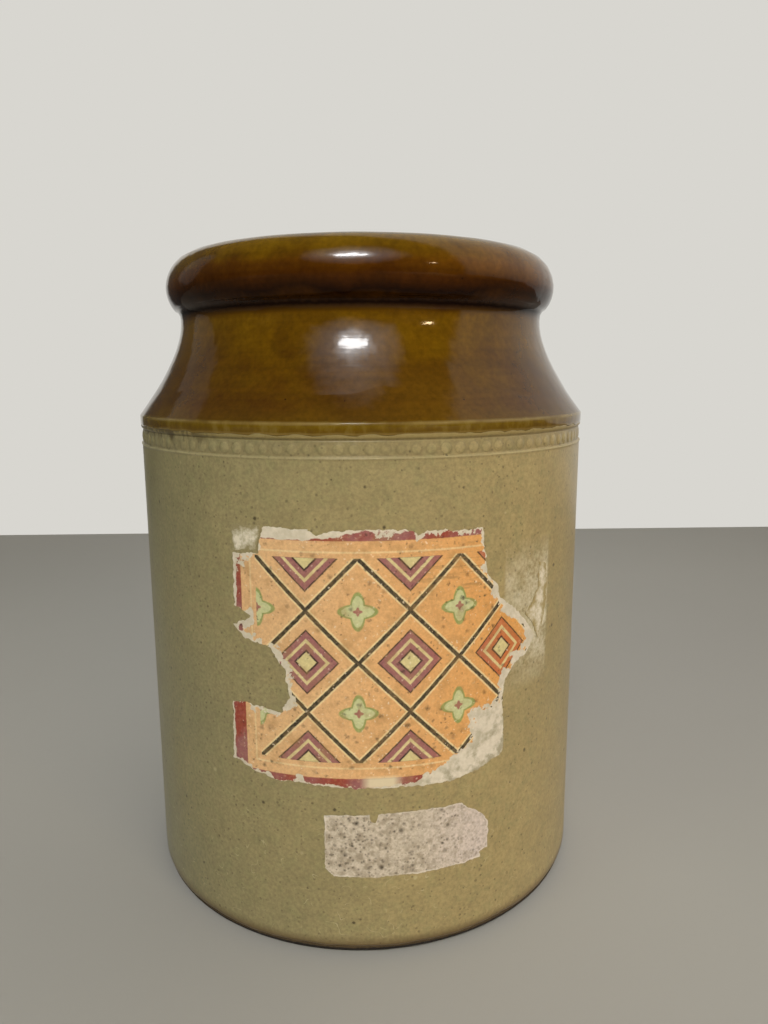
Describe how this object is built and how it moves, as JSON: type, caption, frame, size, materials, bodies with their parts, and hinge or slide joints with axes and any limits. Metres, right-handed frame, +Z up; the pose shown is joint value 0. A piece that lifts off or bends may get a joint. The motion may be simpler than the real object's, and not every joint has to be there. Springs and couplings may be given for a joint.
{
  "type": "stoneware jar",
  "caption": "Wide-mouthed stoneware preserve jar with a straight wall, concave shoulder, rolled lip, two-tone glaze, pressed bead band and torn paper labels.",
  "frame": {"origin": "centre of the jar's flat base, on the surface that it stands on", "axes": "+Z up along the jar's axis, -Y out of the middle of the labelled front, +X to the right seen from the front"},
  "size_m": [0.152, 0.152, 0.2086],
  "materials": {
    "stoneware": "bare fired clay, matt",
    "amber_glaze": "glossy amber-brown iron glaze",
    "buff_glaze": "satin clear glaze over speckled buff clay",
    "liner_glaze": "satin clear glaze over buff clay",
    "printed_paper": "aged printed paper, torn and foxed",
    "plain_paper": "aged white paper with mould specks",
    "paper_scrap": "thin torn paper fibres left on the glaze"
  },
  "bodies": {
    "root": {"stoneware_body": "stoneware", "amber_glaze": "amber_glaze", "buff_glaze": "buff_glaze", "liner_glaze": "liner_glaze", "main_label": "printed_paper", "weight_label": "plain_paper", "corner_scrap": "paper_scrap", "edge_scrap": "paper_scrap"}
  },
  "joints": []
}
